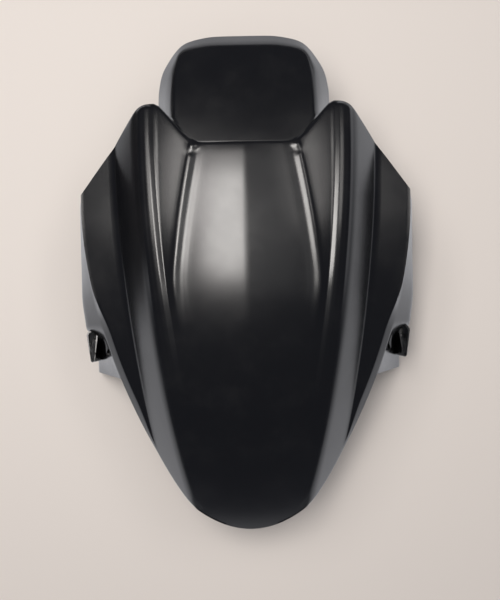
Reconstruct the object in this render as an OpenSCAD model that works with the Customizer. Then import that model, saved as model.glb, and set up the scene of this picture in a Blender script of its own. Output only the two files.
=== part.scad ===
// Motorcycle front mudguard: one moulding with a ribbed arch, side wings,
// two fork covers that it stands on, and a stepped-down tail.
// X is across, +Y is to the rear of the motorcycle, Z is up from the floor.

/* [Overall] */
// Length from the nose to the end of the tail
length = 466; // [450:1:490]
// Thickness of the moulded wall
wall = 3; // [2.5:0.1:3.5]

/* [Crown] */
// Height of the crown above the floor
crown_h = 175; // [165:1:190]
// Radius of the crown's arc, seen from the side
crown_r = 420; // [400:1:460]
// How far behind the middle the crown is highest
crown_y = 43; // [35:1:50]
// Radius of the arch, seen from the front
arch_r = 420; // [380:1:500]
// Sideways slope on each side of the middle ridge
ridge_slope = 0.05; // [0.03:0.01:0.07]

/* [Rear edge of the arch] */
// How far behind the middle the straight rear edge is
rear_y = 125.5; // [120:0.5:130]
// Width of the straight rear edge
rear_w = 94; // [86:1:98]
// How far behind the middle the two horns reach
horn_y = 162; // [156:1:168]
// Distance between the two horns
horn_w = 169; // [164:1:174]
// How far behind the middle the wings' corners are
corner_y = 87; // [80:1:92]
// Width across the wings' corners
corner_w = 303; // [296:1:308]

/* [Nose] */
// Radius of the nose's tip, seen from above
nose_r = 57.5; // [54:0.5:62]
// Half width at which the nose meets the side edges
nose_w = 54; // [50:1:56]
// Width of the rolled edge beside the front of the covers
lip_w = 8; // [6:0.1:9]
// Depth of the rolled edge beside the wings
lip_drop = 8; // [6:0.5:10]

/* [Ribs and flanks] */
// Height of the raised ribs
rib_h = 1.6; // [1:0.1:2.2]
// Half width of a raised rib
rib_w = 3; // [2.5:0.1:3.5]
// How far the two outer ribs draw together on their way to the front
horn_draw = 17; // [14:0.5:20]
// How far the two inner ribs spread on their way to the front
rib_spread = 21; // [18:0.5:23]
// Distance from an outer rib to the foot of the flank
flank_w = 35; // [32:0.5:37]
// Depth of the steep flank
flank_drop = 30; // [24:0.5:34]
// Downward slope of the flat wings
wing_slope = 0.23; // [0.15:0.01:0.28]

/* [Fork covers] */
// Width across the two fork covers
cover_w = 319; // [316:1:326]
// How far below the crown the covers turn upright
knee_drop = 101; // [95:1:109]
// How far ahead of the middle the covers reach
cover_front = 85; // [82:0.5:90]
// How far behind the middle the foot of the covers reaches
cover_rear = 66; // [60:0.5:72]
// Radius of the covers' lower corners
cover_r = 16; // [10:1:20]
// How far the front of each cover stands in from its side
front_inset = 4; // [3:0.5:6]

/* [Fork bolts] */
// Bore of a fork bolt hole
bolt_d = 8.5; // [6:0.1:10]
// Diameter of a bolt boss
boss_d = 22; // [18:0.5:24]
// Distance from a cover's outer face to the seat of its bosses
seat_in = 13.5; // [9.5:0.5:15.5]
// How far behind the middle the lower bolt is
bolt_y = 44; // [40:0.5:48]
// Height of the lower bolt
bolt_z = 22; // [18:0.5:26]
// How far the upper bolt is behind the lower one
bolt_dy = 18; // [14:0.5:20]
// How far the upper bolt is above the lower one
bolt_dz = 38; // [34:0.5:42]

/* [Hose guides] */
// Inner width of a hose guide
guide_w = 7.8; // [6:0.1:9]
// Length of the hose guide's opening
guide_len = 29; // [24:0.5:32]
// How far ahead of the middle the hose guides start
guide_y = 39; // [36:0.5:41]
// Wall of a hose guide
guide_wall = 2.4; // [2:0.1:3]
// How far below the covers' turn the rim of a hose guide is
guide_sink = 1; // [0:0.5:6]
// Distance from a cover's outer face to the middle of its hose guide
guide_in = 8.5; // [7.5:0.5:10.5]
// Height of a hose guide, which is open at both ends
guide_h = 36; // [28:1:40]
// How far ahead of the middle the side windows start
window_y = 45; // [42:0.5:48]
// Length of a side window
window_len = 16; // [12:0.5:18]
// Height of a side window at its front
window_h = 30; // [22:0.5:32]

/* [Tail] */
// Radius of the tail's arc, seen from the side
tail_r = 380; // [350:1:420]
// Step from the arch down to the tail at the rear edge
tail_step = 8; // [6.5:0.1:9]
// Width of the tail's top panel
tail_panel_w = 122; // [116:1:126]
// Width of the tail at the foot of its walls
tail_w = 160; // [154:1:164]
// How far below the crown the tail's lower edge starts, beside the horns
tail_edge_drop = 76; // [72:0.5:80]
// How far below the crown the tail's lower edge is at its end
tail_end_drop = 65; // [61:0.5:69]
// Length of the turned-down end
tail_lip = 16.5; // [14:0.5:18]

/* [Hidden] */
rows = 30;          // steps from the rear edge to the nose
nose_y = -length / 2;
tail_y = length / 2;
corner_x = corner_w / 2;
horn_x = horn_w / 2;
rear_x = rear_w / 2;
cover_x = cover_w / 2;
knee_z = crown_h - knee_drop;
seat_x = cover_x - seat_in;
guide_x = cover_x - guide_in;
guide_z = knee_z - guide_sink;
inner_ribs_end = nose_y + 188;   // ribs and ridge rise out of the smooth nose from here on
outer_ribs_end = nose_y + 103;
ridge_end = nose_y + 113;
foot_fall_y = horn_y - 2;        // the tail's lower edge falls from here on
eps = 0.01;

function mix(a, b, t) = a + (b - a) * t;
function clamp(t) = min(1, max(0, t));
function ease(t) = let (c = clamp(t)) c * c * (3 - 2 * c);
function bezier(p, t) = let (s = 1 - t)
    s*s*s * p[0] + 3*s*s*t * p[1] + 3*s*t*t * p[2] + t*t*t * p[3];

// Outline seen from above. The side edge is one curve from the nose to the corner.
function nose_front(x) = nose_y + x*x / (2 * nose_r);
nose_end_y = nose_front(nose_w);
side_curve = [[nose_w, nose_end_y], [nose_w + 36, nose_end_y + 36],
    [corner_x + 0.5, corner_y - 115], [corner_x, corner_y]];
side_points = [for (i = [0:24]) let (p = bezier(side_curve, i / 24)) [p[1], p[0]]];
function side_x(y) = lookup(y, side_points);

// Rear edge: straight in the middle, out to a horn, then forward to the corner.
rear_points = [[0, rear_y], [rear_x, rear_y + 1], [horn_x - 11, horn_y - 4.5],
    [horn_x - 4, horn_y - 0.6], [horn_x, horn_y], [horn_x + 4, horn_y - 2],
    [horn_x + 13, horn_y - 9], [horn_x + 34, horn_y - 35], [corner_x, corner_y]];
function rear_edge(x) = lookup(x, rear_points);

// Lines that run from the rear edge to the nose, as distances from the middle.
function horn_line(y) = horn_x - horn_draw * pow(max(0, horn_y - y) / 217, 1.7);
function rib_line(y) = let (f = clamp((y + 40) / (rear_y + 40)),
    free = rear_x - 5 + rib_spread * (1 - pow(f, 1.6)))
    min(free, horn_line(y) - 4.2 * rib_w);
function lip_share(y) = ease((y - nose_end_y - 46) / 60);
function lip_width(y) = mix(1.2, lip_w, lip_share(y) * ease((5 - y) / 50));
function lip_depth(y) = mix(2.5, lip_drop, lip_share(y));
function lip_start(y) = side_x(y) - lip_width(y);
function flank_line(y) = min(horn_line(y) + flank_w, lip_start(y) - 1.5);

// How far the surface lies below the crown line at a distance x from the middle.
function crown_z(y) = crown_h - crown_r + sqrt(crown_r*crown_r - pow(y - crown_y, 2));
function arch_drop(x, y) = let (fade = ease((y - ridge_end) / 90), foot = horn_line(y) + flank_w,
    top = horn_line(y) + 7, c = min(x, foot))
    c*c / (2*arch_r) + ridge_slope * sqrt(c*c + 4 + 900 * (1 - fade)) * mix(0.6, 1, fade)
    + flank_drop * ease((x - top) / (foot + 3 - top)) + wing_slope * max(0, x - foot);
function arch_z(x, y) = crown_z(y) - arch_drop(x, y);
function edge_z(y) = arch_z(lip_start(y), y) - lip_depth(y);

// Columns of the arch: each gives a distance from the middle and a share of the rib.
// An inner rib rises steeply on its inner side and fades out towards the horn.
function between(a, b, n) = [for (i = [1:n - 1]) mix(a, b, i / n)];
function column_x(y) = let (r = rib_line(y), h = horn_line(y), f = flank_line(y),
    e = lip_start(y), a = min(h + 11, f - 6), hb = min(h, a - 8), rb = min(r, hb - 4.2 * rib_w))
    concat([0], between(0, rb - 3 * rib_w, 3), [rb - 3 * rib_w, rb - rib_w, rb + rib_w, rb + 2.3 * rib_w],
        [mix(rb + 2.3 * rib_w, hb - 1.4 * rib_w, 0.5)],
        [hb - 1.4 * rib_w, hb, hb + rib_w, hb + 2 * rib_w], [a], between(a, f, 4), [f],
        between(f, e, 3), [e]);
rib_share = [0, 0, 0, 0, 0.25, 1.1, 0.9, 0.5, 0.1, 1, 0.25, 0.2];
columns = len(column_x(0));
function inner_rib(y) = rib_h * ease((y - inner_ribs_end) / 50);
function outer_rib(y) = rib_h * ease((y - outer_ribs_end) / 90);
function rib_height(i, y) = i >= len(rib_share) ? 0 : rib_share[i] * (i < 8 ? inner_rib(y) : outer_rib(y));

// Rolled edge and fork cover below it: each point is [x, z] at a place along the edge.
roll = [30, 60, 82];
function bulge(y) = ease((y + guide_y + 13) / 20);
function skirt(y) = let (x = side_x(y), z = edge_z(y), full = y > -cover_front - 4,
    kx = full ? cover_x - front_inset * ease(-y / 45) : x + 1,
    kz = full ? mix(16, knee_z, bulge(y)) : z - 2, low = full ? -2 : z - 3)
    concat([for (a = roll) [x - lip_width(y) * (1 - sin(a) / sin(82)), z + lip_depth(y) * cos(a)]],
        [[mix(x, kx, 0.45), mix(z, kz, 0.45)], [mix(x, kx, 0.92), mix(z, kz, 0.9)],
         [kx, mix(kz, low, 0.12)], [kx, low]]);
skirts = len(skirt(0));
width_n = columns + skirts;

// Surface grid of the right half, then mirrored to a full width.
function row_edge_y(v) = mix(corner_y, nose_end_y, v);
function grid_y(i, v, guess) = let (x = column_x(guess)[i])
    mix(rear_edge(x), nose_front(min(x, nose_w)), v);
function arch_point(i, v) = let (y0 = mix(rear_y, nose_y, v), y1 = grid_y(i, v, y0),
    y2 = grid_y(i, v, y1), y = grid_y(i, v, y2), x = column_x(y)[i]) [x, y, arch_z(x, y)];
function half_point(i, v) = i < columns ? arch_point(i, v)
    : let (y = row_edge_y(v), p = skirt(y)[i - columns]) [p[0], y, p[1]];
function grid_row(v) = let (half = [for (i = [0:width_n - 1]) half_point(i, v)])
    concat([for (i = [width_n - 1:-1:1]) [-half[i][0], half[i][1], half[i][2]]], half);
arch_grid = [for (j = [0:rows]) grid_row(j / rows)];
across = 2 * width_n - 1;

// Tail: rows from the foot of the step to the end. Each row has a flat panel inside
// one rounded outline and steep walls out to another, and the last row closes the end.
tail_top = crown_z(rear_y) - tail_step - sqrt(tail_r*tail_r - pow(rear_y - crown_y, 2)) + tail_r;
panel_start = horn_y - 10;
foot_start = horn_y + 3;
panel_x = tail_panel_w / 2;
foot_x = tail_w / 2;
function tail_z(x, y) = tail_top - tail_r + sqrt(tail_r*tail_r - pow(y - crown_y, 2)) - x*x / 1100;
function tail_foot_z(y) = crown_h - mix(tail_edge_drop, tail_end_drop, ease((y - foot_fall_y) / 70));
wall_steps = [[0, 0], [0.12, 0.04], [0.3, 0.17], [1, 1]];
function tail_surface(x, y) = let (f = (x - panel_x) / (foot_x - panel_x))
    f <= 0 ? tail_z(x, y) : mix(tail_z(panel_x, y), tail_foot_z(y), lookup(f, wall_steps));

// Outlines of the panel and of the foot of the walls, from the horns to the middle of the end.
// Each has six corners, which are cut off by a share t of their sides.
function cut(p, t) = let (n = len(p) - 1) [for (i = [0:n - 1])
    each [i == 0 ? p[0] : mix(p[i], p[i + 1], t), i == n - 1 ? p[n] : mix(p[i], p[i + 1], 1 - t)]];
end_y = tail_y - tail_lip;
flat_x = 0.38 * foot_x;          // half width of the straight end
panel_corners = [[panel_x, panel_start], [0.985 * panel_x, end_y - 46], [0.965 * panel_x, end_y - 26],
    [0.94 * panel_x, end_y - 5], [flat_x, end_y], [0, end_y]];
foot_corners = [[foot_x, foot_start], [0.995 * foot_x, tail_y - 50], [0.94 * foot_x, tail_y - 31],
    [0.71 * foot_x, tail_y - 6], [flat_x, tail_y], [0, tail_y]];
panel_loop = cut(panel_corners, 0.2);
foot_loop = cut(foot_corners, 0.2);

// Columns of the arch that run on into the tail, and their shares of the panel and wall.
tail_columns = 9;
panel_columns = 5;
function step_point(i, down) = let (p = arch_point(i, 0), y = p[1] + 0.8)
    [p[0], y, mix(p[2], tail_surface(p[0], y), down)];
function tail_point(i, j) = let (k = i / panel_columns, w = wall_steps[i - panel_columns],
    c = panel_loop[j], f = foot_loop[j])
    i <= panel_columns ? [c[0] * k, c[1], tail_z(c[0] * k, c[1])]
    : [each mix(c, f, w[0]), mix(tail_z(c[0], c[1]), tail_foot_z(f[1]), w[1])];
function tail_half(j) = j == 0 ? [for (i = [0:tail_columns - 1]) arch_point(i, 0)]
    : j == 1 ? [for (i = [0:tail_columns - 1]) step_point(i, 1)]
    : j <= tail_run ? let (t = (j - 1) / tail_run) [for (i = [0:tail_columns - 1])
        let (a = step_point(i, 1), b = tail_point(i, 0), x = mix(a[0], b[0], t), y = mix(a[1], b[1], t))
        [x, y, tail_surface(x, y)]]
    : [for (i = [0:tail_columns - 1]) tail_point(i, j - tail_run - 1)];
tail_run = 3;
tail_bend = len(panel_loop) - 1;
tail_rows = tail_run + tail_bend + 1;
function flip(v) = [-v[0], v[1], v[2]];
tail_grid = [for (j = [0:tail_rows]) let (half = tail_half(j))
    concat([for (i = [tail_columns - 1:-1:1]) flip(half[i])], half)];

// Direction in which a grid point is set back so that every face next to it moves by 1.
function unit(v) = v / max(eps, norm(v));
function quad_normal(g, j, i) = unit(cross(g[j][i + 1] - g[j + 1][i], g[j][i] - g[j + 1][i + 1]));
function around(g, j, i) = [for (b = [j - 1, j], a = [i - 1, i])
    if (b >= 0 && a >= 0 && b < len(g) - 1 && a < len(g[0]) - 1) quad_normal(g, b, a)];
function sum(v, k = 0) = k == len(v) - 1 ? v[k] : v[k] + sum(v, k + 1);
function setback(near) = let (n = unit(sum(near))) n / max(0.65, min([for (q = near) q * n]));

// The two grids meet in the arch's rear edge: there the faces of both count.
tail_shift = width_n - tail_columns;
function joint_normals(i) = concat(around(arch_grid, 0, i), around_tail(0, i - tail_shift));
function around_tail(j, i) = i < 0 || i > 2 * tail_columns - 2 ? []
    : [for (v = around(tail_grid, j, i)) -v];
function arch_setback(j, i) = setback(j == 0 ? joint_normals(i) : around(arch_grid, j, i));
function tail_setback(j, i) = setback(around_tail(j, i));

// Outer and inner points of the whole skin, as one list each.
function outer_arch(j, i) = let (p = arch_grid[j][i])
    p + rib_height(abs(i - width_n + 1), p[1]) * arch_setback(j, i);
outer_points = concat([for (j = [0:rows], i = [0:across - 1]) outer_arch(j, i)],
    [for (j = [1:tail_rows]) each tail_grid[j]]);
inner_points = concat([for (j = [0:rows], i = [0:across - 1]) arch_grid[j][i] - wall * arch_setback(j, i)],
    [for (j = [1:tail_rows], i = [0:2 * tail_columns - 2]) tail_grid[j][i] - wall * tail_setback(j, i)]);

tail_across = 2 * tail_columns - 1;
skin_count = len(outer_points);
function arch_id(j, i) = j * across + i;
// The last row folds shut: its left half is its right half, and its panel is one point.
function last_column(i) = let (k = abs(i - tail_columns + 1)) tail_columns - 1 + (k <= panel_columns ? 0 : k);
function tail_id(j, i) = j == 0 ? arch_id(0, i + tail_shift)
    : (rows + 1) * across + (j - 1) * tail_across + (j == tail_rows ? last_column(i) : i);

// Two triangles for each cell of a grid, on the outer or the inner side.
function cell(a, b, c, d) = [for (f = [[a, b, c], [b, d, c]]) if (f[0] != f[1] && f[1] != f[2] && f[0] != f[2]) f];
function turned(faces, by) = [for (f = faces) [f[0] + by, f[2] + by, f[1] + by]];
function rim(a, b) = [[a, b, a + skin_count], [b, b + skin_count, a + skin_count]];

module skin() {
    arch_faces = [for (j = [0:rows - 1], i = [0:across - 2])
        each cell(arch_id(j, i), arch_id(j, i + 1), arch_id(j + 1, i), arch_id(j + 1, i + 1))];
    tail_faces = [for (j = [0:tail_rows - 1], i = [0:tail_across - 2])
        each cell(tail_id(j + 1, i), tail_id(j + 1, i + 1), tail_id(j, i), tail_id(j, i + 1))];
    outside = concat(arch_faces, tail_faces);
    edges = concat(
        [for (i = [0:across - 2]) each rim(arch_id(rows, i), arch_id(rows, i + 1))],
        [for (i = [0:across - 2]) if (i < tail_shift || i >= tail_shift + tail_across - 1)
            each rim(arch_id(0, i + 1), arch_id(0, i))],
        [for (j = [0:rows - 1]) each concat(rim(arch_id(j, 0), arch_id(j + 1, 0)),
            rim(arch_id(j + 1, across - 1), arch_id(j, across - 1)))],
        [for (j = [0:tail_rows - 1]) each concat(rim(tail_id(j + 1, 0), tail_id(j, 0)),
            rim(tail_id(j, tail_across - 1), tail_id(j + 1, tail_across - 1)))]);
    polyhedron(concat(outer_points, inner_points),
        concat(outside, turned(outside, skin_count), edges), convexity = 12);
}

// Side view of what stays of the fork covers, and of what is cut away around it.
module cover_outline() {
    offset(cover_r) offset(-cover_r) polygon([[-cover_front, 0], [cover_rear, 0],
        [corner_y + 1, edge_z(corner_y)], [corner_y + 1, 2 * crown_h], [-cover_front, 2 * crown_h]]);
}

module cover_trim() {
    start = -cover_front - 20;
    steps = [for (i = [0:12]) mix(start, corner_y, i / 12)];
    function trim_z(y) = edge_z(y) - mix(7, 1.5, clamp((y - start) / 8));
    rotate([90, 0, 90]) linear_extrude(2 * cover_w, center = true) difference() {
        polygon(concat([[start, -5]], [for (y = steps) [y, trim_z(y)]],
            [[corner_y + 9, trim_z(corner_y)], [corner_y + 9, -5]]));
        cover_outline();
    }
}

// Triangular window under the wing's edge, ahead of each cover.
module windows() {
    front = -window_y - window_len;
    top = edge_z(front) - 2.5;
    for (s = [-1, 1]) translate([s * (cover_x - 18), 0, 0]) rotate([90, 0, 90])
        linear_extrude(50, center = true) offset(1.5) offset(-1.5)
            polygon([[-window_y, top - 7], [front, top], [front, top - window_h]]);
}

// Boat-shaped tube for a hose, open at both ends, with its tip free of the cover.
module guide_shape(r, tip_r, y0, y1, z0, z1) {
    hull() {
        translate([0, y0, z0]) cylinder(r = r, h = z1 - z0, $fn = 32);
        translate([0, y1, z0]) cylinder(r = tip_r, h = z1 - z0, $fn = 24);
    }
}

module guides(hollow) {
    w = guide_w / 2;
    tip_r = 1.6;
    back = -guide_y - w;
    front = -guide_y - guide_len + tip_r;
    foot = guide_z - guide_h;
    for (s = [-1, 1]) translate([s * guide_x, 0, 0])
        if (hollow) guide_shape(w, tip_r, back, front, foot - 1, guide_z + 20);
        else guide_shape(w + guide_wall, tip_r + guide_wall - 1, back, front, foot, guide_z);
}

// Bosses inside the covers, each with a flat seat square to X for a fork bolt.
module at_bolts() {
    for (s = [-1, 1], k = [0, 1])
        translate([s * seat_x, bolt_y + k * bolt_dy, bolt_z + k * bolt_dz]) rotate([0, s * 90, 0])
            children();
}

module bosses() {
    at_bolts() cylinder(d = boss_d, h = seat_in - 1, $fn = 48);
}

module bolt_holes() {
    at_bolts() translate([0, 0, -1]) cylinder(d = bolt_d, h = seat_in + 2, $fn = 48);
}

// The skin with its covers cut to shape, and the hose guides.
module body() {
    resize([0, 0, 0]) difference() {
        union() {
            skin();
            guides(false);
        }
        cover_trim();
        windows();
        guides(true);
    }
}

module mudguard() {
    color([0.11, 0.11, 0.12]) difference() {
        union() {
            body();
            bosses();
        }
        bolt_holes();
    }
}

mudguard();
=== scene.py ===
"""A motorcycle's front mudguard in satin black plastic, seen from straight above on a pale floor."""

import math

import bmesh
import bpy
import numpy as np
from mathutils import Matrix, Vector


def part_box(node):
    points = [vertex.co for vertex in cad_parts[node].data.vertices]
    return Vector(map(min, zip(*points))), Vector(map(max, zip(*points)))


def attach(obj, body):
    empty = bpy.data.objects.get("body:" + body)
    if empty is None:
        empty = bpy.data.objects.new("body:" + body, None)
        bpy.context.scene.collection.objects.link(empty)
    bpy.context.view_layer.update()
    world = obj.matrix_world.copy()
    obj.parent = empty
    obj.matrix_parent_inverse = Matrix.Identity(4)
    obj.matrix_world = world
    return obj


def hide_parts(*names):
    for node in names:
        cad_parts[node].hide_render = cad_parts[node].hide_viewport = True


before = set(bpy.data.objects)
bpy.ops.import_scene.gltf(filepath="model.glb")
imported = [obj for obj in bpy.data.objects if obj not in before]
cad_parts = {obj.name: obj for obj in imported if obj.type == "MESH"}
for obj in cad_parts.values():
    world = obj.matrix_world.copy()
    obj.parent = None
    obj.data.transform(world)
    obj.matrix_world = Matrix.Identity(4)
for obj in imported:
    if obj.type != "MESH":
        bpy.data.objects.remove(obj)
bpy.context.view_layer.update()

bl_info = {
    "name": "Front mudguard",
    "version": (1, 0, 0),
    "blender": (4, 5, 0),
    "location": "View3D > Sidebar > Mudguard",
    "description": "Builds a moulded front mudguard with its plastic, its floor and its lamps",
    "category": "Add Mesh",
}

NODE = "mudguard"
MM = 0.001
LOW, HIGH = (np.array(corner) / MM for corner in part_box(NODE))
NOSE_Y = LOW[1]
TAIL_Y = HIGH[1]
COVER_X = HIGH[0]
CROWN_H = HIGH[2]


class MudguardSizes(bpy.types.PropertyGroup):
    """Sizes of the moulding, in millimetres."""

    wall: bpy.props.FloatProperty(name="Wall", description="Thickness of the wall", default=3.0)
    rib_h: bpy.props.FloatProperty(
        name="Rib height", description="Height of the raised ribs", default=1.6)
    rib_w: bpy.props.FloatProperty(
        name="Rib half width", description="Half width of a rib", default=3.0)
    flank_drop: bpy.props.FloatProperty(name="Flank", description="Depth of the flanks", default=30.0)
    lip_w: bpy.props.FloatProperty(
        name="Lip width", description="Width of the rolled edge", default=8.0)
    lip_drop: bpy.props.FloatProperty(
        name="Lip depth", description="Depth of the rolled edge", default=8.0)
    edge_round: bpy.props.FloatProperty(
        name="Edge", description="Radius of the moulding's edges", default=0.18)
    bolt_d: bpy.props.FloatProperty(
        name="Bolt hole", description="Bore of a fork bolt hole", default=8.5)
    boss_d: bpy.props.FloatProperty(name="Boss", description="Diameter of a bolt boss", default=22.0)


class MudguardLook(bpy.types.PropertyGroup):
    """Finish of the plastic."""

    colour: bpy.props.FloatVectorProperty(
        name="Plastic", description="Colour of the plastic", subtype="COLOR",
        default=(0.003, 0.003, 0.0036))
    dust_colour: bpy.props.FloatVectorProperty(
        name="Dust", description="Colour of the fine dust", subtype="COLOR", default=(0.2, 0.19, 0.18))
    roughness: bpy.props.FloatProperty(
        name="Roughness", description="Roughness of the satin", default=0.24)
    grain_mm: bpy.props.FloatProperty(
        name="Grain", description="Size of the mould's grain", default=0.35)


class MudguardStage(bpy.types.PropertyGroup):
    """Floor, camera and lamps."""

    floor_colour: bpy.props.FloatVectorProperty(
        name="Floor", description="Colour of the floor", subtype="COLOR", default=(0.68, 0.628, 0.585))
    # Painted reflection: a dark colour the floor takes in glossy rays only, on the left and behind the
    # horns, while the floor itself stays pale
    painted_dark_reflection: bpy.props.FloatVectorProperty(
        name="Painted dark reflection", description="Mirrored colour of the floor on the left and behind the horns",
        subtype="COLOR", default=(0.05, 0.05, 0.055))
    # Painted reflection: a paler colour the floor takes in glossy rays only, so the plastic mirrors a
    # brighter floor than the one it stands on
    painted_pale_reflection: bpy.props.FloatVectorProperty(
        name="Mirrored floor", description="Colour of the floor in the plastic's reflections",
        subtype="COLOR", default=(0.9, 0.92, 0.97))
    camera_height: bpy.props.FloatProperty(
        name="Camera height", description="Height above the floor", unit="LENGTH", default=0.9)
    main_radiance: bpy.props.FloatProperty(
        name="Main lamp", description="Brightness of the overhead strip", default=12.5)
    fill_radiance: bpy.props.FloatProperty(
        name="Strip lamps", description="Brightness of the two overhead side strips", default=4.6)
    room_radiance: bpy.props.FloatProperty(
        name="Room lamp", description="Brightness of the wide lamp that the plastic doesn't mirror",
        default=0.85)


def mix(a, b, t):
    return a + (b - a) * t


def ease(t):
    c = np.clip(t, 0, 1)
    return c * c * (3 - 2 * c)


def rise(y, start, run):
    """An eased rise from 0 to 1 that begins at a start and takes a run."""
    return ease((y - start) / run)


def ramp(t, start, end):
    """A straight rise from 0 to 1 whose two corners are rounded over the shares start and end."""
    c = np.clip(t, 0, 1)
    slope = 1 / (1 - (start + end) / 2)
    low = np.minimum(c, start)
    high = np.maximum(0, c - 1 + end)
    return slope * (low**2 / (2 * start) + np.maximum(0, c - start) - high**2 / (2 * end))


def straight_lookup(x, places, values):
    """A line of straight stretches through values at places. Places may differ from row to row."""
    result = np.full(x.shape, float(values[0]))
    for k in range(len(values) - 1):
        step = np.clip((x - places[k]) / (places[k + 1] - places[k]), 0, 1)
        result += (values[k + 1] - values[k]) * step
    return result


def soft_lookup(x, places, values):
    """The straight stretches of straight_lookup with their corners rounded."""
    return sum(straight_lookup(x + shift, places, values) for shift in SOFTENING) / len(SOFTENING)


def soft_min(a, limit, blend):
    """The smaller of a and limit, with the corner between them rounded."""
    h = np.clip(0.5 + 0.5 * (limit - a) / blend, 0, 1)
    return mix(limit, a, h) - blend * h * (1 - h)


def bezier(points, t):
    s = 1 - t
    a, b, c, d = (np.array(p, float)[:, None] for p in points)
    return s**3 * a + 3 * s * s * t * b + 3 * s * t * t * c + t**3 * d


def rounded_line(points, cuts, steps=8):
    """A line through points whose corners are rounded, each over its own length along both sides."""
    result = [points[0]]
    for k in range(1, len(points) - 1):
        corner = np.array(points[k], float)
        before = np.array(points[k - 1], float) - corner
        after = np.array(points[k + 1], float) - corner
        start = corner + before * cuts[k - 1] / np.linalg.norm(before)
        end = corner + after * cuts[k - 1] / np.linalg.norm(after)
        for t in np.linspace(0, 1, steps):
            result.append(tuple(mix(mix(start, corner, t), mix(corner, end, t), t)))
    result.append(points[-1])
    return np.array(result, float).T


def cut_corners(points, shares):
    """A line whose corners are cut off by each share in turn, which rounds them. Its ends stay."""
    line = np.array(points, float)
    for share in shares:
        near = mix(line[:-1], line[1:], share)
        far = mix(line[:-1], line[1:], 1 - share)
        near[0], far[-1] = line[0], line[-1]
        line = np.stack([near, far], axis=1).reshape(-1, 2)
    return line


# Outline seen from above
CORNER_X, CORNER_Y = 153.0, 87.0
REAR_X, REAR_Y = 47.0, 125.5
HORN_X, HORN_Y = 85.7, 162.0
NOSE_R, NOSE_W = 57.5, 54.0
NOSE_END_Y = NOSE_Y + NOSE_W**2 / (2 * NOSE_R)
SIDE_CURVE = [(NOSE_END_Y, NOSE_W), (NOSE_END_Y + 36, NOSE_W + 36),
              (CORNER_Y - 115, CORNER_X + 0.5), (CORNER_Y, CORNER_X)]
SIDE_Y, SIDE_X = bezier(SIDE_CURVE, np.linspace(0, 1, 400))
REAR_LINE = rounded_line(
    [(0, REAR_Y), (REAR_X, REAR_Y + 0.5), (HORN_X - 9, HORN_Y + 0.5), (HORN_X, HORN_Y + 2.5),
     (HORN_X + 8, HORN_Y), (HORN_X + 37.5, HORN_Y - 34), (CORNER_X, CORNER_Y)], [9, 4.5, 4, 5, 12])
COVER_FRONT, COVER_REAR = 82.5, 66.0
COVER_R = 16.0
KNEE_Z, KNEE_OUT = 74.0, 0.8
FRONT_INSET, INSET_RUN = 4.0, 45.0
GUIDE_Y, GUIDE_Z = 39.0, 73.0
BULGE_AHEAD, BULGE_RUN = 13.0, 20.0


def side_x(y):
    return np.interp(y, SIDE_Y, SIDE_X)


def rear_edge(x):
    return np.interp(x, *REAR_LINE)


def nose_front(x):
    return NOSE_Y + x * x / (2 * NOSE_R)


# Shifts over which a profile is averaged to round its corners
SOFTENING = (-1.2, -0.4, 0.4, 1.2)


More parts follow.
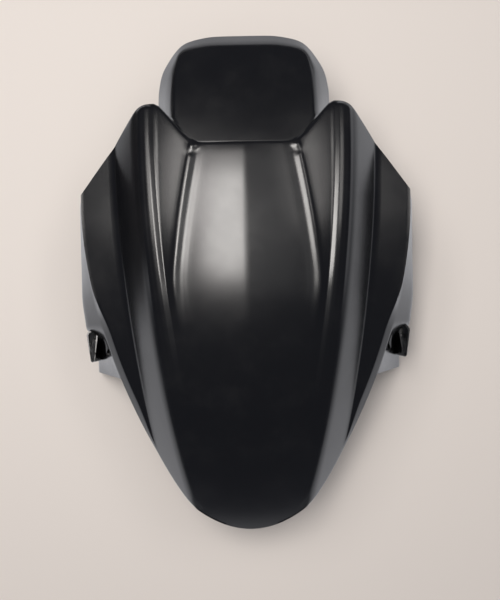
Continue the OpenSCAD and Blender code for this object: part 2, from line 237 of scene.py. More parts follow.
class Moulding:
    """The skin's shape: distances and heights over the plan, in millimetres."""

    crown_r, crown_y, arch_r = 420.0, 43.0, 420.0
    ridge_slope, wing_slope = 0.05, 0.23
    horn_draw, horn_run, horn_power = 17.0, 217.0, 1.7
    rib_spread, rib_gap, flank_w = 21.0, 5.2, 35.0
    nose_lip_w, nose_lip_drop = 1.2, 2.5

    # Shares of a flank's width over which its top and its foot are rounded
    flank_rounds = (0.3, 0.1)

    # Where each form begins to rise out of the smooth nose, and over what length
    ridge_rise, inner_rise, crest_rise, crest_second_rise = (-120, 90), (-45, 50), (-130, 60), (-60, 90)

    # Shares of the rib height at the marks across an inner rib, and over the crest on a horn
    inner_rib = (0, 0.25, 1.35, 0.85, 0.5, 0)
    crest_top = (1.5, 1.65, 1.55, 1.35, 1.38, 0)

    # The dip and the knob at an inner rib's rear end: distance from the edge, reach and height
    rib_ends = ((8, 1.8, -0.7), (3.5, 2, 0.4))

    # The two rolls that add up at the rear edge: reach and depth
    rear_rolls = ((10, 0.4), (2.6, 0.6))

    def __init__(self, sizes):
        self.sizes = sizes

    def horn_line(self, y):
        return HORN_X - self.horn_draw * (np.maximum(0, HORN_Y - y) / self.horn_run) ** self.horn_power

    def rib_line(self, y):
        f = np.clip((y + 40) / (REAR_Y + 40), 0, 1)
        free = REAR_X - 5 + self.rib_spread * (1 - f**1.6)
        return soft_min(free, self.horn_line(y) - self.rib_gap * self.sizes.rib_w, 3)

    def lip_share(self, y):
        return ease((y - NOSE_END_Y - 46) / 60)

    def lip_width(self, y):
        return mix(self.nose_lip_w, self.sizes.lip_w, self.lip_share(y) * ease((5 - y) / 50))

    def lip_depth(self, y):
        return mix(self.nose_lip_drop, self.sizes.lip_drop, self.lip_share(y))

    def lip_start(self, y):
        return side_x(y) - self.lip_width(y)

    def flank_line(self, y):
        return np.minimum(self.horn_line(y) + self.flank_w, self.lip_start(y) - 1.5)

    def crown_z(self, y):
        return CROWN_H - self.crown_r + np.sqrt(self.crown_r**2 - (y - self.crown_y) ** 2)

    def arch_z(self, x, y):
        fade = rise(y, *self.ridge_rise)
        foot = self.horn_line(y) + self.flank_w
        top = self.horn_line(y) + 7
        c = np.minimum(x, foot)
        ridge = self.ridge_slope * np.sqrt(c * c + 0.8 + 900 * (1 - fade)) * mix(0.6, 1, fade)
        drop = c * c / (2 * self.arch_r) + ridge + self.wing_slope * np.maximum(0, x - foot)
        flank = ramp((x - top) / (foot + 2 - top), *self.flank_rounds)
        return self.crown_z(y) - drop - self.sizes.flank_drop * flank

    def edge_z(self, y):
        return self.arch_z(self.lip_start(y), y) - self.lip_depth(y)

    def rib_height(self, x, y):
        """Height of the raised ribs over the smooth arch."""
        w = self.sizes.rib_w
        r = self.rib_line(y)
        h = self.horn_line(y)
        step_x = [r - 3 * w, r - w, r + w, r + 2.3 * w, h - 2.1 * w, h - 0.7 * w]
        inner = soft_lookup(x, step_x, self.inner_rib)
        face = np.exp(-(((x - r - 0.5 * w) / (1.3 * w)) ** 2))
        for ahead, reach, height in self.rib_ends:
            inner += height * face * np.exp(-(((y - REAR_Y + ahead) / reach) ** 2))
        top_x = [h - 0.7 * w, h + 0.5 * w, h + 0.9 * w, h + 1.3 * w, h + 2 * w, h + 3.4 * w]
        top = soft_lookup(x, top_x, self.crest_top)
        crest = soft_min(1.1 * np.maximum(0, (x - h) / w + 2.1), top, 0.35)
        ends = rise(y, *self.crest_rise) * ease((rear_edge(x) - y) / 5)
        crest *= mix(0.35, 1, rise(y, *self.crest_second_rise)) * ends
        return inner * rise(y, *self.inner_rise) + crest

    def columns(self, y):
        """Distances from the middle at which the skin's columns lie, one array for each."""
        w = self.sizes.rib_w
        e = self.lip_start(y)
        f = self.flank_line(y)
        a = np.minimum(self.horn_line(y) + 11, f - 6)
        h = np.minimum(self.horn_line(y), a - 8)
        r = np.minimum(self.rib_line(y), h - self.rib_gap * w)
        marks = [0 * y, r - 3 * w, r - w, r + w, r + 2.3 * w,
                 h - 2.1 * w, h - 0.7 * w, h + 0.9 * w, a, f, e]
        steps = [14, 6, 7, 5, 7, 6, 9, 12, 14, 10]
        result = [marks[0]]
        for k, count in enumerate(steps):
            for i in range(1, count + 1):
                result.append(mix(marks[k], marks[k + 1], i / count))
        width = self.lip_width(y)
        for share in np.linspace(0, 1, ROLL_STEPS + 1)[1:]:
            result.append(e + width * share)
        return result

    def surface_z(self, x, y):
        """Height of the arch, its wings and the rolled edge."""
        e = self.lip_start(y)
        width = self.lip_width(y)
        s = np.clip((x - e) / width, 0, 1)
        z = self.arch_z(np.minimum(x, side_x(y)), y)
        full = self.arch_z(e, y) - self.arch_z(side_x(y), y)
        fall = (np.sqrt(s * s + 0.01) - 0.1) / (math.sqrt(1.01) - 0.1)
        return z - (self.lip_depth(y) - full) * fall - self.rear_roll(x, y)

    def rear_roll(self, x, y):
        """How far the arch rolls down towards its rear edge, between the outer slopes of the horns."""
        gap = np.maximum(0, rear_edge(x) - y)
        share = 1 - ease((x - HORN_X - 6) / 24)
        rolls = (depth * np.clip(1 - gap / reach, 0, 1) ** 2 for reach, depth in self.rear_rolls)
        return share * sum(rolls)


ROLL_STEPS = 8
REAR_ROWS, FRONT_ROWS = 84, 60
UPPER_STEPS, CORNER_STEPS = 26, 10
TAIL_RUN, LOOP_CUTS = 14, (0.2, 0.25, 0.25)

# How far out along the arch's rear edge the tail is joined
TAIL_JOIN_X = 62.0

# Points nearer to each other than this become one, in metres
MERGE = 0.00002


def column_line(shape, i, v):
    """Plan of one column at shares v of its way from the rear edge to the nose."""
    y = mix(REAR_Y, NOSE_Y, v)
    for _ in range(12):
        x = shape.columns(y)[i]
        y = mix(rear_edge(x), nose_front(np.minimum(x, NOSE_W)), v)
    return x, y


def arch_rows(shape):
    """Points of the right half of the arch: rows from the rear edge to the nose, columns outwards."""
    trial = np.linspace(0, 1, 400)
    v_cover = np.interp(COVER_FRONT, -column_line(shape, -1, trial)[1], trial)
    roll = np.array([0, 0.6, 1.2, 1.8, 2.6, 3.6, 4.8, 6.2, 8, 11]) / (REAR_Y - NOSE_Y)
    rear = np.linspace(roll[-1], v_cover, REAR_ROWS - len(roll) + 2)[1:]
    v = np.concatenate([roll, rear, np.linspace(v_cover, 1, FRONT_ROWS + 1)[1:]])
    count = len(shape.columns(np.zeros(1)))
    grid = np.zeros((len(v), count, 3))
    for i in range(count):
        x, y = column_line(shape, i, v)
        grid[:, i, 0] = x
        grid[:, i, 1] = y
        grid[:, i, 2] = shape.surface_z(x, y)
    return grid


def cover_front_line(z):
    low = np.clip(COVER_R - z, 0, COVER_R)
    return -COVER_FRONT + COVER_R - np.sqrt(COVER_R**2 - low**2)


def cover_rear_line(z, top_z):
    slope = (CORNER_Y - COVER_REAR) / top_z
    low = np.clip(COVER_R - z, 0, COVER_R)
    return COVER_REAR + slope * np.minimum(z, top_z) - (COVER_R - np.sqrt(COVER_R**2 - low**2))


def cover_rows(shape, lip):
    """Points of the right cover: one row for each point of the lip's lower edge, columns downwards."""
    top_z = shape.edge_z(CORNER_Y)
    y0 = lip[:, 1]
    s = (y0 + COVER_FRONT) / (CORNER_Y + COVER_FRONT)
    heights = [mix(lip[:, 2], COVER_R, k / UPPER_STEPS) for k in range(1, UPPER_STEPS + 1)]
    for k in range(1, CORNER_STEPS + 1):
        heights.append(0 * y0 + COVER_R * (1 - math.sin(math.pi / 2 * k / CORNER_STEPS)))
    grid = np.zeros((len(lip), len(heights) + 1, 3))
    grid[:, 0] = lip
    bulge = ease((y0 + GUIDE_Y + BULGE_AHEAD) / BULGE_RUN)
    knee_x = COVER_X + KNEE_OUT - FRONT_INSET * ease(-y0 / INSET_RUN)
    knee_z = mix(COVER_R, KNEE_Z, bulge)
    for k, z in enumerate(heights):
        y = mix(cover_front_line(z), cover_rear_line(z, top_z), s)
        fall = (lip[:, 2] - z) / (lip[:, 2] - knee_z)
        grid[:, k + 1, 0] = mix(lip[:, 0], knee_x, soft_min(fall, 1, 0.12))
        grid[:, k + 1, 1] = y
        grid[:, k + 1, 2] = z
    return grid


class Tail:
    """The stepped-down tail: a flat panel inside one rounded outline and steep walls out to another."""

    arc_r, step, panel_x, foot_x = 380.0, 8.0, 61.0, 80.0
    panel_start, foot_start, end_y = 152.0, 165.0, TAIL_Y - 16.5
    edge_z, end_z = 99.0, 110.0

    def __init__(self, shape):
        flat = 0.38 * self.foot_x
        panel = [(self.panel_x, self.panel_start), (0.985 * self.panel_x, self.end_y - 46),
                 (0.965 * self.panel_x, self.end_y - 26), (0.94 * self.panel_x, self.end_y - 5),
                 (flat, self.end_y), (0, self.end_y)]
        foot = [(self.foot_x, self.foot_start), (0.995 * self.foot_x, TAIL_Y - 50),
                (0.94 * self.foot_x, TAIL_Y - 31), (0.71 * self.foot_x, TAIL_Y - 6),
                (flat, TAIL_Y), (0, TAIL_Y)]
        self.panel_loop = cut_corners(panel, LOOP_CUTS)
        self.foot_loop = cut_corners(foot, LOOP_CUTS)
        back = REAR_Y - shape.crown_y
        self.crown_y = shape.crown_y
        self.top = shape.crown_z(REAR_Y) - self.step - math.sqrt(self.arc_r**2 - back**2) + self.arc_r

    def panel_z(self, x, y):
        return self.top - self.arc_r + np.sqrt(self.arc_r**2 - (y - self.crown_y) ** 2) - x * x / 1100

    def foot_z(self, y):
        return mix(self.edge_z, self.end_z, ease((y - 160) / 70))

    def wall_fall(self, f):
        """Share of the wall's fall at a share of its width: a rounded crease, then a steep plane."""
        return np.interp(f, [0, 0.06, 0.12, 0.2, 0.3, 1], [0, 0.012, 0.04, 0.09, 0.17, 1])

    def surface(self, x, y):
        f = (x - self.panel_x) / (self.foot_x - self.panel_x)
        wall = mix(self.panel_z(self.panel_x, y), self.foot_z(y), self.wall_fall(np.clip(f, 0, 1)))
        return np.where(f <= 0, self.panel_z(x, y), wall)

    def point(self, share, j):
        """Point at a share across the half, up to 1 on the panel and from 1 to 2 on the wall."""
        cx, cy = self.panel_loop[j]
        fx, fy = self.foot_loop[j]
        if share <= 1:
            return [cx * share, cy, self.panel_z(cx * share, cy)]
        f = share - 1
        z = mix(self.panel_z(cx, cy), self.foot_z(fy), self.wall_fall(f))
        return [mix(cx, fx, f), mix(cy, fy, f), z]


def tail_rows(tail, edge):
    """Points of the right half of the tail: rows from the arch's rear edge to the tail's end."""
    count = len(edge)
    panel = next(k for k in range(count) if edge[k][0] > REAR_X + 1)
    walls = count - 1 - panel
    shares = [k / panel if k <= panel else 1 + ((k - panel) / walls) ** 1.7 for k in range(count)]
    rows = [edge]
    foot = edge + [0, 0.8, 0]
    foot[:, 2] = tail.surface(foot[:, 0], foot[:, 1])
    for t in (0.5, 1.0):
        rows.append(mix(edge, foot, t))
    first = np.array([tail.point(share, 0) for share in shares])
    for j in range(1, TAIL_RUN + 1):
        row = mix(foot, first, j / TAIL_RUN)
        row[:, 2] = tail.surface(row[:, 0], row[:, 1])
        rows.append(row)
    for j in range(1, len(tail.foot_loop)):
        rows.append(np.array([tail.point(share, j) for share in shares]))
    return np.array(rows)


def add_half(bm, grid, side, outward):
    """Adds one half's grid to a mesh as quads. Side is 1 or -1, and outward turns the faces over."""
    verts = [[bm.verts.new((side * p[0] * MM, p[1] * MM, p[2] * MM)) for p in row] for row in grid]
    for j in range(len(verts) - 1):
        for i in range(len(verts[0]) - 1):
            quad = [verts[j][i], verts[j][i + 1], verts[j + 1][i + 1], verts[j + 1][i]]
            bm.faces.new(quad if (side > 0) == outward else quad[::-1])


def skin_mesh(shape):
    """The outer face of the whole skin, as one sheet."""
    arch = arch_rows(shape)
    cover = cover_rows(shape, arch[: REAR_ROWS + 1, -1])
    x = arch[0, :, 0]
    last = int(np.argmin(np.abs(x - TAIL_JOIN_X)))
    tail = tail_rows(Tail(shape), arch[0, : last + 1].copy())
    bm = bmesh.new()
    for side in (1, -1):
        add_half(bm, arch, side, False)
        add_half(bm, cover, side, False)
        add_half(bm, tail, side, True)
    bmesh.ops.remove_doubles(bm, verts=bm.verts, dist=MERGE)
    bmesh.ops.dissolve_degenerate(bm, edges=bm.edges, dist=MERGE / 2)
    mesh = bpy.data.meshes.new("skin")
    bm.to_mesh(mesh)
    bm.free()
    return mesh


def scene_object(name, mesh):
    obj = bpy.data.objects.new(name, mesh)
    bpy.context.scene.collection.objects.link(obj)
    return obj


def apply_modifiers(obj):
    """Turns the object's modifiers into its plain mesh."""
    graph = bpy.context.evaluated_depsgraph_get()
    mesh = bpy.data.meshes.new_from_object(obj.evaluated_get(graph), depsgraph=graph)
    obj.modifiers.clear()
    old = obj.data
    obj.data = mesh
    bpy.data.meshes.remove(old)


def node_group(name, kind, sockets):
    """An empty node group with its inputs and outputs. Sockets are (name, in or out, type, default)."""
    group = bpy.data.node_groups.new(name, kind)
    for label, way, socket_type, default in sockets:
        socket = group.interface.new_socket(label, in_out=way, socket_type=socket_type)
        if default is not None:
            socket.default_value = default
    return group, group.nodes.new("NodeGroupInput"), group.nodes.new("NodeGroupOutput")


def set_input(modifier, name, value):
    """Sets a Geometry Nodes input by the socket's identifier."""
    for item in modifier.node_group.interface.items_tree:
        if item.item_type == "SOCKET" and item.in_out == "INPUT" and item.name == name:
            modifier[item.identifier] = value


def rib_tree():
    """Raises the skin along its normals where the rib attribute says so."""
    group, start, end = node_group("Raise ribs", "GeometryNodeTree", [
        ("Geometry", "INPUT", "NodeSocketGeometry", None),
        ("Rib height", "INPUT", "NodeSocketFloat", 0.0016),
        ("Geometry", "OUTPUT", "NodeSocketGeometry", None),
    ])
    nodes, links = group.nodes, group.links
    share = nodes.new("GeometryNodeInputNamedAttribute")
    share.data_type = "FLOAT"
    share.inputs["Name"].default_value = "rib"
    height = nodes.new("ShaderNodeMath")
    height.operation = "MULTIPLY"
    normal = nodes.new("GeometryNodeInputNormal")
    offset = nodes.new("ShaderNodeVectorMath")
    offset.operation = "SCALE"
    move = nodes.new("GeometryNodeSetPosition")
    links.new(share.outputs["Attribute"], height.inputs[0])
    links.new(start.outputs["Rib height"], height.inputs[1])
    links.new(normal.outputs["Normal"], offset.inputs[0])
    links.new(height.outputs[0], offset.inputs["Scale"])
    links.new(start.outputs["Geometry"], move.inputs["Geometry"])
    links.new(offset.outputs[0], move.inputs["Offset"])
    links.new(move.outputs["Geometry"], end.inputs["Geometry"])
    return group


BOLT_Y, BOLT_Z, BOLT_DY, BOLT_DZ = 44.0, 22.0, 18.0, 38.0
SEAT_X = 146.0
BORE_LEN = 50.0

# How far a boss ends inside the cover's outer face
BOSS_IN = 1.0


def bolt_tree():
    """A round bar at each fork bolt, lying along X, on both sides."""
    group, start, end = node_group("Bars at the fork bolts", "GeometryNodeTree", [
        ("Geometry", "INPUT", "NodeSocketGeometry", None),
        ("Radius", "INPUT", "NodeSocketFloat", 0.011),
        ("Length", "INPUT", "NodeSocketFloat", 0.0125),
        ("First bolt", "INPUT", "NodeSocketVector", (0.152, 0.044, 0.022)),
        ("To the next bolt", "INPUT", "NodeSocketVector", (0, 0.018, 0.038)),
        ("Material", "INPUT", "NodeSocketMaterial", None),
        ("Geometry", "OUTPUT", "NodeSocketGeometry", None),
    ])
    nodes, links = group.nodes, group.links
    line = nodes.new("GeometryNodeMeshLine")
    line.mode = "OFFSET"
    line.inputs["Count"].default_value = 2
    links.new(start.outputs["First bolt"], line.inputs["Start Location"])
    links.new(start.outputs["To the next bolt"], line.inputs["Offset"])
    mirror = nodes.new("GeometryNodeTransform")
    mirror.inputs["Scale"].default_value = (-1, 1, 1)
    both = nodes.new("GeometryNodeJoinGeometry")
    links.new(line.outputs["Mesh"], mirror.inputs["Geometry"])
    links.new(line.outputs["Mesh"], both.inputs["Geometry"])
    links.new(mirror.outputs["Geometry"], both.inputs["Geometry"])
    bar = nodes.new("GeometryNodeMeshCylinder")
    bar.inputs["Vertices"].default_value = 64
    links.new(start.outputs["Radius"], bar.inputs["Radius"])
    links.new(start.outputs["Length"], bar.inputs["Depth"])
    put = nodes.new("GeometryNodeInstanceOnPoints")
    put.inputs["Rotation"].default_value = (0, math.pi / 2, 0)
    links.new(both.outputs["Geometry"], put.inputs["Points"])
    links.new(bar.outputs["Mesh"], put.inputs["Instance"])
    real = nodes.new("GeometryNodeRealizeInstances")
    paint = nodes.new("GeometryNodeSetMaterial")
    links.new(put.outputs["Instances"], real.inputs["Geometry"])
    links.new(real.outputs["Geometry"], paint.inputs["Geometry"])
    links.new(start.outputs["Material"], paint.inputs["Material"])
    links.new(paint.outputs["Geometry"], end.inputs["Geometry"])
    return group


def guide_tree():
    """A boat-shaped bar on each side, the hull of a wide upright cone and a thin one ahead of it."""
    group, start, end = node_group("Hose guides", "GeometryNodeTree", [
        ("Geometry", "INPUT", "NodeSocketGeometry", None),
        ("Radius", "INPUT", "NodeSocketFloat", 0.0063),
        ("Tip radius", "INPUT", "NodeSocketFloat", 0.003),
        ("Draft", "INPUT", "NodeSocketFloat", 0.0),
        ("Back", "INPUT", "NodeSocketVector", (0.151, -0.043, 0.037)),
        ("Tip", "INPUT", "NodeSocketVector", (0.151, -0.066, 0.037)),
        ("Height", "INPUT", "NodeSocketFloat", 0.036),
        ("Material", "INPUT", "NodeSocketMaterial", None),
        ("Geometry", "OUTPUT", "NodeSocketGeometry", None),
    ])
    nodes, links = group.nodes, group.links
    both = nodes.new("GeometryNodeJoinGeometry")
    for radius, place in (("Radius", "Back"), ("Tip radius", "Tip")):
        bar = nodes.new("GeometryNodeMeshCone")
        bar.inputs["Vertices"].default_value = 48
        top = nodes.new("ShaderNodeMath")
        top.operation = "SUBTRACT"
        links.new(start.outputs[radius], top.inputs[0])
        links.new(start.outputs["Draft"], top.inputs[1])
        links.new(top.outputs[0], bar.inputs["Radius Top"])
        links.new(start.outputs[radius], bar.inputs["Radius Bottom"])
        links.new(start.outputs["Height"], bar.inputs["Depth"])
        move = nodes.new("GeometryNodeTransform")
        links.new(bar.outputs["Mesh"], move.inputs["Geometry"])
        links.new(start.outputs[place], move.inputs["Translation"])
        links.new(move.outputs["Geometry"], both.inputs["Geometry"])
    boat = nodes.new("GeometryNodeConvexHull")
    links.new(both.outputs["Geometry"], boat.inputs["Geometry"])
    mirror = nodes.new("GeometryNodeTransform")
    mirror.inputs["Scale"].default_value = (-1, 1, 1)
    links.new(boat.outputs["Convex Hull"], mirror.inputs["Geometry"])
    pair = nodes.new("GeometryNodeJoinGeometry")
    links.new(boat.outputs["Convex Hull"], pair.inputs["Geometry"])
    links.new(mirror.outputs["Geometry"], pair.inputs["Geometry"])
    real = nodes.new("GeometryNodeRealizeInstances")
    paint = nodes.new("GeometryNodeSetMaterial")
    links.new(pair.outputs["Geometry"], real.inputs["Geometry"])
    links.new(real.outputs["Geometry"], paint.inputs["Geometry"])
    links.new(start.outputs["Material"], paint.inputs["Material"])
    links.new(paint.outputs["Geometry"], end.inputs["Geometry"])
    return group


def grown_mesh(name, tree, inputs):
    """The mesh that a Geometry Nodes tree makes from nothing, as an object of its own."""
    obj = scene_object(name, bpy.data.meshes.new(name))
    modifier = obj.modifiers.new("grow", "NODES")
    modifier.node_group = tree
    for label, value in inputs.items():
        set_input(modifier, label, value)
    apply_modifiers(obj)
    bm = bmesh.new()
    bm.from_mesh(obj.data)
    bmesh.ops.recalc_face_normals(bm, faces=bm.faces)
    bm.to_mesh(obj.data)
    bm.free()
    return obj


def prism(name, outline, x_low, x_high):
    """Two upright-sided blocks whose outline is given in Y and Z, on the right and on the left."""
    bm = bmesh.new()
    for side in (1, -1):
        low = [bm.verts.new((side * x_low * MM, y * MM, z * MM)) for y, z in outline]
        high = [bm.verts.new((side * x_high * MM, y * MM, z * MM)) for y, z in outline]
        bm.faces.new(low)
        bm.faces.new(high)
        for k in range(len(outline)):
            j = (k + 1) % len(outline)
            bm.faces.new([low[k], low[j], high[j], high[k]])
    bmesh.ops.recalc_face_normals(bm, faces=bm.faces)
    mesh = bpy.data.meshes.new(name)
    bm.to_mesh(mesh)
    bm.free()
    return scene_object(name, mesh)


def combine(obj, other, operation):
    """Joins another solid to the object or cuts it away, and removes it."""
    modifier = obj.modifiers.new("combine", "BOOLEAN")
    modifier.operation = operation
    modifier.solver = "MANIFOLD"
    modifier.object = other
    apply_modifiers(obj)
    bpy.data.objects.remove(other)


def rounded_corners(points, radius, steps=5):
    """A closed outline with its corners rounded."""
    result = []
    for k, point in enumerate(points):
        corner = np.array(point, float)
        before = np.array(points[k - 1], float) - corner
        after = np.array(points[(k + 1) % len(points)], float) - corner
        start = corner + before * radius / np.linalg.norm(before)
        end = corner + after * radius / np.linalg.norm(after)
        for t in np.linspace(0, 1, steps):
            result.append(tuple(mix(mix(start, corner, t), mix(corner, end, t), t)))
    return result


WINDOW_Y, WINDOW_LEN, WINDOW_H = 45.0, 16.0, 30.0
WINDOW_GAP, WINDOW_SLANT, WINDOW_R = 2.5, 7.0, 2.5
WINDOW_IN, WINDOW_OUT = 43.0, 7.0

GUIDE_X, GUIDE_R, GUIDE_LEN, GUIDE_H, GUIDE_WALL = 151.0, 3.9, 29.0, 36.0, 2.4
GUIDE_TIP_R, CAVITY_TIP_R, GUIDE_DRAFT = 3.0, 1.6, 1.0


def window_outline(shape):
    front = -WINDOW_Y - WINDOW_LEN
    top = float(shape.edge_z(np.array([front]))[0]) - WINDOW_GAP
    corners = [(-WINDOW_Y, top - WINDOW_SLANT), (front, top), (front, top - WINDOW_H)]
    return rounded_corners(corners, WINDOW_R)


def guide_inputs(radius, tip_radius, low, high, draft=0):
    """Inputs of the guide tree for a boat between two heights, slimmer at its top by the draft."""
    back = -GUIDE_Y - GUIDE_R
    tip = -GUIDE_Y - GUIDE_LEN + CAVITY_TIP_R
    return {
        "Radius": radius * MM,
        "Tip radius": tip_radius * MM,
        "Draft": draft * MM,
        "Back": (GUIDE_X * MM, back * MM, low * MM),
        "Tip": (GUIDE_X * MM, tip * MM, low * MM),
        "Height": (high - low) * MM,
    }


MITRE_LIMIT = 0.65


def add_wall(obj, sizes):
    """Gives the sheet its wall on the inside, with closed rims, and counts the outer face's points."""
    bm = bmesh.new()
    bm.from_mesh(obj.data)
    bm.normal_update()
    outer = list(bm.verts)
    faces = list(bm.faces)
    rims = [edge.link_loops[0] for edge in bm.edges if len(edge.link_loops) == 1]
    rims = [(loop.vert, loop.link_loop_next.vert) for loop in rims]
    inner = {}
    for vert in outer:
        lean = min((face.normal.dot(vert.normal) for face in vert.link_faces), default=1)
        depth = sizes.wall * MM / max(MITRE_LIMIT, lean)
        inner[vert] = vert.co - vert.normal * depth
    inner = {vert: bm.verts.new(place) for vert, place in inner.items()}
    for face in faces:
        bm.faces.new([inner[vert] for vert in reversed(face.verts)])
    for a, b in rims:
        bm.faces.new([b, a, inner[a], inner[b]])
    bm.to_mesh(obj.data)
    bm.free()
    return len(outer)


def raise_ribs(obj, shape, count):
    """Raises the ribs on the outer face, which holds the mesh's first points."""
    mesh = obj.data
    points = np.zeros(len(mesh.vertices) * 3)
    mesh.vertices.foreach_get("co", points)
    points = points.reshape(-1, 3) / MM
    share = shape.rib_height(np.abs(points[:, 0]), points[:, 1])
    on_arch = points[:, 1] < rear_edge(np.abs(points[:, 0])) + 0.1
    share = np.where(on_arch & (np.arange(len(points)) < count), share, 0)
    attribute = mesh.attributes.new("rib", "FLOAT", "POINT")
    attribute.data.foreach_set("value", share)
    modifier = obj.modifiers.new("ribs", "NODES")
    modifier.node_group = rib_tree()
    set_input(modifier, "Rib height", shape.sizes.rib_h * MM)
    apply_modifiers(obj)
    obj.data.attributes.remove(obj.data.attributes["rib"])


def build_moulding(sizes, material):
    shape = Moulding(sizes)
    skin = scene_object("moulding", skin_mesh(shape))
    count = add_wall(skin, sizes)
    raise_ribs(skin, shape, count)
    low = GUIDE_Z - GUIDE_H
    outer = guide_inputs(GUIDE_R + GUIDE_WALL, GUIDE_TIP_R, low, GUIDE_Z, GUIDE_DRAFT)
    inner = guide_inputs(GUIDE_R, CAVITY_TIP_R, low - 1, GUIDE_Z + 20)
    tree = guide_tree()
    combine(skin, grown_mesh("guide", tree, outer), "UNION")
    bolts = bolt_tree()
    boss_end = COVER_X - BOSS_IN
    middle = {"First bolt": ((SEAT_X + boss_end) / 2 * MM, BOLT_Y * MM, BOLT_Z * MM),
              "To the next bolt": (0, BOLT_DY * MM, BOLT_DZ * MM)}
    boss = dict(middle, Radius=sizes.boss_d / 2 * MM, Length=(boss_end - SEAT_X) * MM)
    bore = dict(middle, Radius=sizes.bolt_d / 2 * MM, Length=BORE_LEN * MM)
    combine(skin, grown_mesh("boss", bolts, boss), "UNION")
    combine(skin, grown_mesh("bore", bolts, bore), "DIFFERENCE")
    combine(skin, grown_mesh("cavity", tree, inner), "DIFFERENCE")
    window = prism("window", window_outline(shape), COVER_X - WINDOW_IN, COVER_X + WINDOW_OUT)
    combine(skin, window, "DIFFERENCE")
    round_edges(skin, sizes)
    skin.data.materials.clear()
    skin.data.materials.append(material)
    return skin


def round_edges(obj, sizes):
    bevel = obj.modifiers.new("edges", "BEVEL")
    bevel.width = sizes.edge_round * MM
    bevel.segments = 2
    bevel.limit_method = "ANGLE"
    bevel.angle_limit = math.radians(50)
    bevel.use_clamp_overlap = True
    apply_modifiers(obj)
    mesh = obj.data
    mesh.shade_smooth()
    mesh.set_sharp_from_angle(angle=math.radians(40))


def grain_group():
    """Shader nodes shared by the plastic and the floor: fine grain, and soft patches over it."""
    found = bpy.data.node_groups.get("Fine grain")
    if found:
        return found
    group, start, end = node_group("Fine grain", "ShaderNodeTree", [
        ("Grain scale", "INPUT", "NodeSocketFloat", 2800.0),
        ("Patch scale", "INPUT", "NodeSocketFloat", 30.0),
        ("Grain", "OUTPUT", "NodeSocketFloat", None),
        ("Patches", "OUTPUT", "NodeSocketFloat", None),
    ])
    nodes, links = group.nodes, group.links
    place = nodes.new("ShaderNodeTexCoord")
    grain = nodes.new("ShaderNodeTexNoise")
    grain.inputs["Detail"].default_value = 3
    patches = nodes.new("ShaderNodeTexNoise")
    patches.inputs["Detail"].default_value = 4
    patches.inputs["Roughness"].default_value = 0.6
    for noise, scale, label in ((grain, "Grain scale", "Grain"), (patches, "Patch scale", "Patches")):
        links.new(place.outputs["Object"], noise.inputs["Vector"])
        links.new(start.outputs[scale], noise.inputs["Scale"])
        links.new(noise.outputs["Fac"], end.inputs[label])
    return group


def add_grain(tree, grain_scale, patch_scale, depth):
    """Puts the shared grain into a material as a bump of a given depth, and returns its node."""
    nodes, links = tree.nodes, tree.links
    grain = nodes.new("ShaderNodeGroup")
    grain.node_tree = grain_group()
    grain.inputs["Grain scale"].default_value = grain_scale
    grain.inputs["Patch scale"].default_value = patch_scale
    bump = nodes.new("ShaderNodeBump")
    bump.inputs["Distance"].default_value = depth
    bump.inputs["Strength"].default_value = 1
    links.new(grain.outputs["Grain"], bump.inputs["Height"])
    links.new(bump.outputs["Normal"], nodes["Principled BSDF"].inputs["Normal"])
    return grain


def map_range(tree, value, low, high, out_low, out_high):
    """A Map Range node fed by a socket, with a smooth step between its ends."""
    node = tree.nodes.new("ShaderNodeMapRange")
    node.interpolation_type = "SMOOTHSTEP"
    labels = ("From Min", "From Max", "To Min", "To Max")
    for label, number in zip(labels, (low, high, out_low, out_high)):
        node.inputs[label].default_value = number
    tree.links.new(value, node.inputs["Value"])
    return node.outputs["Result"]


def math_node(tree, operation, first, second):
    """A node that works out one number from two sockets."""
    node = tree.nodes.new("ShaderNodeMath")
    node.operation = operation
    tree.links.new(first, node.inputs[0])
    tree.links.new(second, node.inputs[1])
    return node.outputs[0]


def mix_colours(tree, share, first, second):
    """A node that mixes two colours, each given as numbers or as a socket, by a socket's share."""
    node = tree.nodes.new("ShaderNodeMix")
    node.data_type = "RGBA"
    tree.links.new(share, node.inputs["Factor"])
    for socket, colour in ((node.inputs["A"], first), (node.inputs["B"], second)):
        if isinstance(colour, bpy.types.NodeSocket):
            tree.links.new(colour, socket)
        else:
            socket.default_value = (*colour, 1)
    return node.outputs["Result"]


IOR = 1.62
PATCH_SCALE, GRAIN_DEPTH = 26, 0.000004
FLOOR_GRAIN_SCALE, FLOOR_PATCH_SCALE, FLOOR_GRAIN_DEPTH = 900, 5, 0.00003
DUST_SHARE = 0.02


def plastic_material(look):
    """Satin black plastic with the mould's fine grain, a gloss that wanders and a trace of dust."""
    material = bpy.data.materials.new("moulded plastic")
    material.use_nodes = True
    tree = material.node_tree
    shader = tree.nodes["Principled BSDF"]
    shader.inputs["IOR"].default_value = IOR
    grain = add_grain(tree, 1 / (look.grain_mm * MM), PATCH_SCALE, GRAIN_DEPTH)
    low, high = look.roughness - 0.02, look.roughness + 0.025
    rough = map_range(tree, grain.outputs["Patches"], 0.3, 0.7, low, high)
    tree.links.new(rough, shader.inputs["Roughness"])
    dust = map_range(tree, grain.outputs["Patches"], 0.5, 0.85, 0, DUST_SHARE)
    colour = mix_colours(tree, dust, look.colour, look.dust_colour)
    tree.links.new(colour, shader.inputs["Base Color"])
    return material


# Where the floor's painted reflection turns dark: each pair is the start and the end of a soft step
LEFT_STEP_X, REAR_STEP_Y = (-0.3, -0.272), (0.31, 0.335)
LEFT_HORN_X, RIGHT_HORN_X = (-0.15, -0.12), (0.15, 0.18)
RIGHT_STEP_X, FRONT_STEP_Y = (0.28, 0.36), (-0.12, 0)


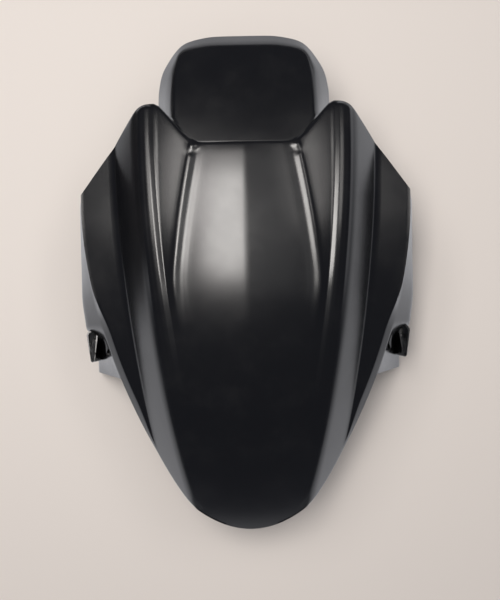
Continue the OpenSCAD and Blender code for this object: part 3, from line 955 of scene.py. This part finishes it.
def floor_material(stage):
    """Plain pale floor. In the plastic's reflections its colour is painted: a painted pale reflection,
    and a painted dark reflection on the left and behind the horns.
    """
    material = bpy.data.materials.new("floor")
    material.use_nodes = True
    tree = material.node_tree
    shader = tree.nodes["Principled BSDF"]
    shader.inputs["Roughness"].default_value = 0.6
    add_grain(tree, FLOOR_GRAIN_SCALE, FLOOR_PATCH_SCALE, FLOOR_GRAIN_DEPTH)
    place = tree.nodes.new("ShaderNodeTexCoord")
    parts = tree.nodes.new("ShaderNodeSeparateXYZ")
    tree.links.new(place.outputs["Object"], parts.inputs[0])
    x, y = parts.outputs["X"], parts.outputs["Y"]
    left = map_range(tree, x, *LEFT_STEP_X, 1, 0)
    behind = map_range(tree, y, *REAR_STEP_Y, 0, 1)
    left_horn = map_range(tree, x, *LEFT_HORN_X, 1, 0)
    right_horn = map_range(tree, x, *RIGHT_HORN_X, 0, 1)
    not_right = map_range(tree, x, *RIGHT_STEP_X, 1, 0)
    rear_half = map_range(tree, y, *FRONT_STEP_Y, 0, 1)
    horns = math_node(tree, "MAXIMUM", left_horn, math_node(tree, "MULTIPLY", right_horn, not_right))
    dark = math_node(tree, "MAXIMUM", left, math_node(tree, "MULTIPLY", behind, horns))
    dark = math_node(tree, "MULTIPLY", dark, rear_half)
    # Painted reflection: glossy rays see the floor in a painted pale colour, or a painted dark one
    # inside the mask, instead of its own colour
    mirrored = mix_colours(tree, dark, stage.painted_pale_reflection, stage.painted_dark_reflection)
    ray = tree.nodes.new("ShaderNodeLightPath")
    colour = mix_colours(tree, ray.outputs["Is Glossy Ray"], stage.floor_colour, mirrored)
    tree.links.new(colour, shader.inputs["Base Color"])
    return material


class MUDGUARD_OT_moulding(bpy.types.Operator):
    """Builds the one-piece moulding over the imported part"""

    bl_idname = "mudguard.moulding"
    bl_label = "Moulding"

    def execute(self, context):
        material = plastic_material(context.scene.mudguard_look)
        skin = build_moulding(context.scene.mudguard_sizes, material)
        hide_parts(NODE)
        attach(skin, "root")
        return {"FINISHED"}


# Where the camera stands over the floor, and how it is turned
CAMERA_X, CAMERA_Y, CAMERA_TURN = 0.00225, -0.011, -1.08
FOCAL_PX, FRAME_PX = 855.0, 600.0

FLOOR_HALF = 4.0
LAMP_Z, ROOM_LAMP_Z, ROOM_LAMP_SIZE = 1.9, 1.7, 1.6
MAIN_X, MAIN_W = -0.36, 0.54
STRIP_X, STRIP_Y, STRIP_W, STRIP_L = 0.95, 0.97, 0.42, 1.25
FAR_SHARE, DIM_SHARE, RIGHT_SHARE, LEFT_SHARE = 0.3, 0.1, 0.9, 1.25
WARM, PLAIN = (1.0, 0.965, 0.93), (1.0, 0.985, 0.97)
ROOM_COLOUR, ROOM_STRENGTH = (0.42, 0.45, 0.56), 0.2


def area_lamp(name, place, width, length, radiance, colour):
    """A rectangular lamp of a given radiance that shines straight down."""
    data = bpy.data.lights.new(name, "AREA")
    data.shape = "RECTANGLE"
    data.size = width
    data.size_y = length
    data.energy = radiance * math.pi * width * length
    data.color = colour
    lamp = bpy.data.objects.new(name, data)
    bpy.context.scene.collection.objects.link(lamp)
    lamp.visible_camera = False
    lamp.location = place
    return lamp


def build_stage(stage):
    scene = bpy.context.scene
    data = bpy.data.cameras.new("camera")
    data.sensor_fit = "VERTICAL"
    data.sensor_height = 36
    data.lens = FOCAL_PX / FRAME_PX * data.sensor_height
    data.clip_start = 0.01
    camera = bpy.data.objects.new("camera", data)
    camera.location = (CAMERA_X, CAMERA_Y, stage.camera_height)
    camera.rotation_euler = (0, 0, math.radians(CAMERA_TURN))
    scene.collection.objects.link(camera)
    scene.camera = camera
    bm = bmesh.new()
    bmesh.ops.create_grid(bm, x_segments=1, y_segments=1, size=FLOOR_HALF)
    mesh = bpy.data.meshes.new("floor")
    bm.to_mesh(mesh)
    bm.free()
    floor = scene_object("floor", mesh)
    mesh.materials.append(floor_material(stage))
    main, fill = stage.main_radiance, stage.fill_radiance
    area_lamp("main lamp", (MAIN_X, 0.33, LAMP_Z), MAIN_W, 1.1, main, WARM)
    area_lamp("far lamp", (MAIN_X, 1.03, LAMP_Z), MAIN_W, 0.3, FAR_SHARE * main, WARM)
    area_lamp("dim lamp", (0.45, 0.35, LAMP_Z), 0.6, 1.5, DIM_SHARE * fill, PLAIN)
    for x, share in ((STRIP_X, RIGHT_SHARE), (-STRIP_X, LEFT_SHARE)):
        area_lamp("strip lamp", (x, STRIP_Y, LAMP_Z), STRIP_W, STRIP_L, share * fill, WARM)
    room = area_lamp("room lamp", (0.1, 0.0, ROOM_LAMP_Z), ROOM_LAMP_SIZE, ROOM_LAMP_SIZE,
                     stage.room_radiance, PLAIN)
    room.visible_glossy = False
    world = bpy.data.worlds.new("room")
    world.use_nodes = True
    background = world.node_tree.nodes["Background"]
    background.inputs["Color"].default_value = (*ROOM_COLOUR, 1)
    background.inputs["Strength"].default_value = ROOM_STRENGTH
    scene.world = world
    scene.view_settings.view_transform = "Standard"


class MUDGUARD_OT_stage(bpy.types.Operator):
    """Adds the floor, the camera and the lamps"""

    bl_idname = "mudguard.stage"
    bl_label = "Stage"

    def execute(self, context):
        build_stage(context.scene.mudguard_stage)
        return {"FINISHED"}


class MUDGUARD_PT_panel(bpy.types.Panel):
    """Lists the steps in the order in which they run"""

    bl_idname = "MUDGUARD_PT_panel"
    bl_label = "Front mudguard"
    bl_space_type = "VIEW_3D"
    bl_region_type = "UI"
    bl_category = "Mudguard"

    def draw(self, context):
        for operator in OPERATORS:
            self.layout.operator(operator.bl_idname)


OPERATORS = (MUDGUARD_OT_moulding, MUDGUARD_OT_stage)
GROUPS = {
    "mudguard_sizes": MudguardSizes,
    "mudguard_look": MudguardLook,
    "mudguard_stage": MudguardStage,
}


def register():
    for item in (*GROUPS.values(), *OPERATORS, MUDGUARD_PT_panel):
        bpy.utils.register_class(item)
    for name, group in GROUPS.items():
        setattr(bpy.types.Scene, name, bpy.props.PointerProperty(type=group))


def unregister():
    for name in GROUPS:
        delattr(bpy.types.Scene, name)
    for item in (MUDGUARD_PT_panel, *reversed(OPERATORS), *reversed(GROUPS.values())):
        bpy.utils.unregister_class(item)


def main():
    register()
    bpy.ops.mudguard.moulding()
    bpy.ops.mudguard.stage()
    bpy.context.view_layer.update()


if __name__ == "__main__":
    main()
